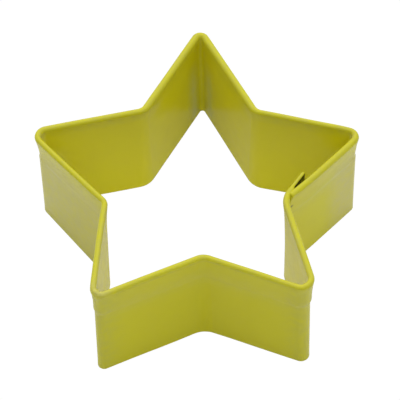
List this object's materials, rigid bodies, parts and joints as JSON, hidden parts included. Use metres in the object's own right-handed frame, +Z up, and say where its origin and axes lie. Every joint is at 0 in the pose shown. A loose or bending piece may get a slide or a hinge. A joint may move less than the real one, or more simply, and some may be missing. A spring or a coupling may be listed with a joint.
{
  "type": "cookie cutter",
  "caption": "Star-shaped cookie cutter: a coated steel strip on edge, hemmed along its rim, with its ends lapped and spot welded",
  "frame": {"origin": "centre of the star's bounding box, on the plane that the cutting edge stands on", "axes": "+Z up from the cutting edge to the hemmed rim, +Y towards the back tip, +X towards the right tip, on the side of the seam"},
  "size_m": [0.0622, 0.0622, 0.0254],
  "materials": {
    "yellow_coating": "smooth baked yellow-green coating on sheet steel, semi-gloss, a little lighter where it is thin on the rolled rim",
    "weld_steel": "bare resistance-weld nuggets, sealed between the two lapped sheets"
  },
  "bodies": {
    "root": {"star_band": "yellow_coating", "seam_spot_welds": "weld_steel"}
  },
  "joints": []
}
